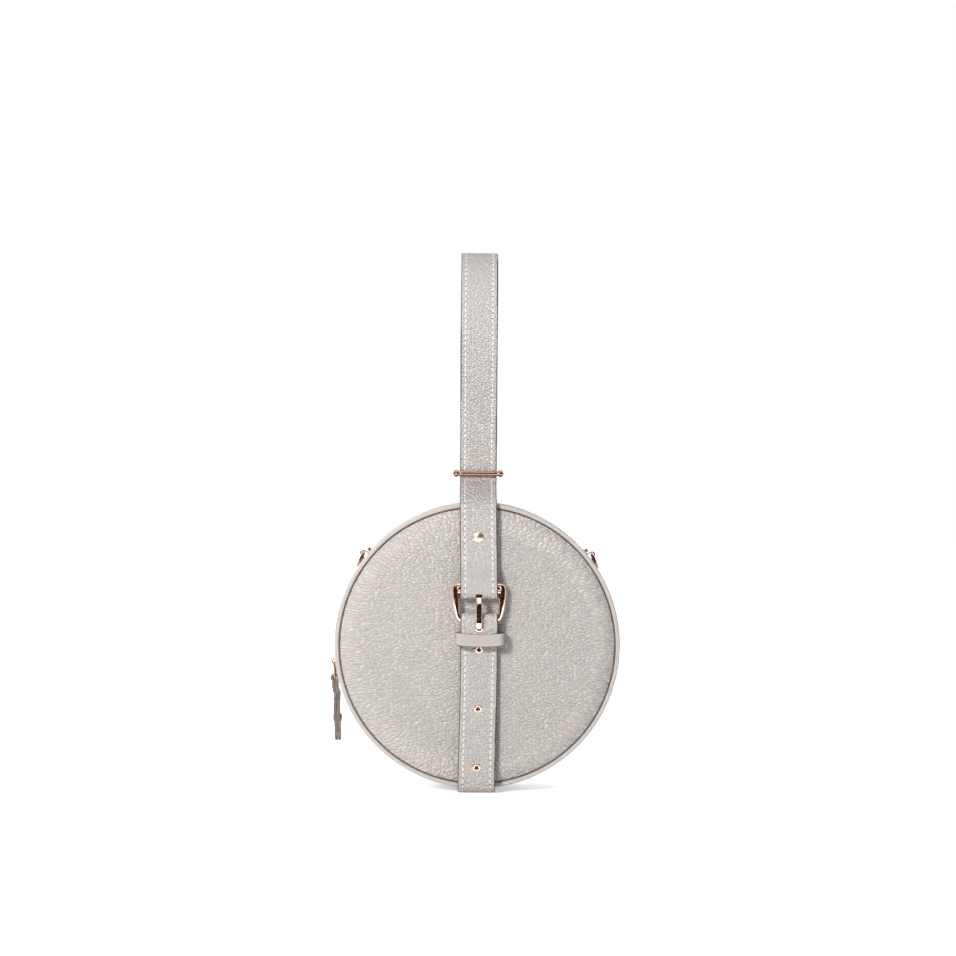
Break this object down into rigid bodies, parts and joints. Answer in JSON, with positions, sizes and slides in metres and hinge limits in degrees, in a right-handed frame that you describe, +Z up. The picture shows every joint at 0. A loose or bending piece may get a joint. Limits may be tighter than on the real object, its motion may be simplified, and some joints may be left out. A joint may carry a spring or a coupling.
{
  "type": "leather handbag",
  "caption": "Round drum-shaped leather handbag with piped panels, a ring zip and one flat strap that buckles in front and rises as a top handle",
  "frame": {"origin": "middle of the strap's underside, where the bag stands", "axes": "+Z up, -Y front, +X to the right seen from the front"},
  "size_m": [0.1951, 0.0751, 0.3643],
  "materials": {
    "pale_leather": "pebbled pale grey-beige leather",
    "dark_edge": "dark painted leather edge",
    "lining": "plain woven lining",
    "zip_tape": "woven zip tape",
    "rose_gold": "polished rose-gold plating"
  },
  "bodies": {
    "bag_body": {"front_panel": "pale_leather", "front_lining": "lining", "front_piping": "pale_leather", "front_welt": "dark_edge", "rear_panel": "pale_leather", "rear_lining": "lining", "rear_piping": "pale_leather", "rear_welt": "dark_edge", "lower_gusset": "pale_leather", "zip_gusset_front": "pale_leather", "zip_gusset_rear": "pale_leather", "gusset_lining": "lining", "zip_tape_front": "zip_tape", "zip_tape_rear": "zip_tape", "zip_teeth_front": "rose_gold", "zip_teeth_rear": "rose_gold", "upper_strap": "pale_leather", "long_strap": "pale_leather", "handle_loop": "rose_gold", "buckle_frame": "rose_gold", "eyelet_1": "rose_gold", "eyelet_2": "rose_gold", "eyelet_3": "rose_gold", "eyelet_4": "rose_gold", "strap_rivet": "rose_gold", "ring_saddle_left": "rose_gold", "ring_saddle_right": "rose_gold", "ring_stud_left_1": "rose_gold", "ring_stud_left_2": "rose_gold", "ring_stud_right_1": "rose_gold", "ring_stud_right_2": "rose_gold"},
    "handle": {"handle_strap": "pale_leather"},
    "slider": {"zip_slider": "rose_gold"},
    "pull": {"pull_link": "rose_gold", "pull_tab": "pale_leather", "pull_rivet": "rose_gold"},
    "prong": {"buckle_prong": "rose_gold"},
    "keeper": {"keeper_loop": "pale_leather"},
    "left_ring": {"ring_left": "rose_gold"},
    "right_ring": {"ring_right": "rose_gold"}
  },
  "joints": [
    {"name": "handle_fold", "type": "hinge", "parent": "bag_body", "child": "handle", "pos_m": [0, 0, 0.2187], "axis": [1, 0, 0], "range_deg": [-80, 80]},
    {"name": "zip_travel", "type": "hinge", "parent": "bag_body", "child": "slider", "pos_m": [0, 0, 0.0986], "axis": [0, 1, 0], "range_deg": [0, 108]},
    {"name": "pull_swing", "type": "hinge", "parent": "slider", "child": "pull", "pos_m": [-0.09724, 0, 0.08493], "axis": [0, 1, 0], "range_deg": [0, 160]},
    {"name": "prong_swing", "type": "hinge", "parent": "bag_body", "child": "prong", "pos_m": [0, -0.0356, 0.1354], "axis": [-1, 0, 0], "range_deg": [0, 18]},
    {"name": "keeper_slide", "type": "slide", "parent": "bag_body", "child": "keeper", "axis": [0, 0, -1], "range_m": [0, 0.05]},
    {"name": "left_ring_swing", "type": "hinge", "parent": "bag_body", "child": "left_ring", "pos_m": [-0.07854, 0.0136, 0.15887], "axis": [0, 1, 0], "range_deg": [0, 195]},
    {"name": "right_ring_swing", "type": "hinge", "parent": "bag_body", "child": "right_ring", "pos_m": [0.07854, 0.0136, 0.15887], "axis": [0, -1, 0], "range_deg": [0, 195]}
  ]
}
